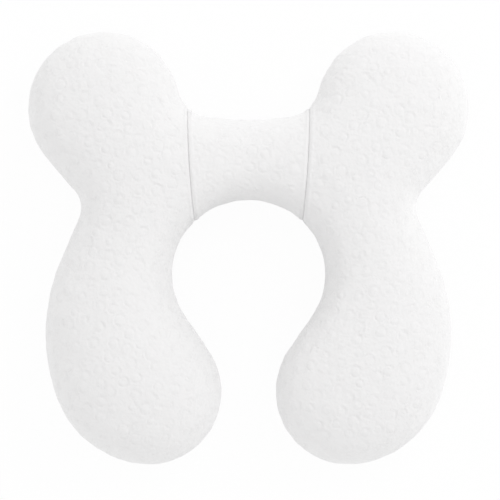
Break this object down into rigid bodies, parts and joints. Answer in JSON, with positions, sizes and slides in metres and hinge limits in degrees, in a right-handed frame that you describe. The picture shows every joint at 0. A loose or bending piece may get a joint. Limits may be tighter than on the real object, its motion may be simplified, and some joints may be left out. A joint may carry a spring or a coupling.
{
  "type": "baby head support pillow",
  "caption": "Stuffed butterfly-shaped cushion whose wings and narrow bridge surround a round opening for an infant's head and neck.",
  "frame": {"origin": "middle of the outline, on the surface that the pillow lies on", "axes": "+X across the pillow from wing to wing, +Y towards its upper lobes, +Z out of its front"},
  "size_m": [0.2806, 0.2754, 0.06],
  "materials": {
    "ring_knit": "matt white knit with a faint pressed ring pattern",
    "back_knit": "matt white knit",
    "fibre": "matt white polyester fibre"
  },
  "bodies": {
    "root": {"left_wing_front_panel": "ring_knit", "bridge_front_panel": "ring_knit", "right_wing_front_panel": "ring_knit", "left_wing_back_panel": "back_knit", "bridge_back_panel": "back_knit", "right_wing_back_panel": "back_knit", "fibre_filling": "fibre"}
  },
  "joints": []
}
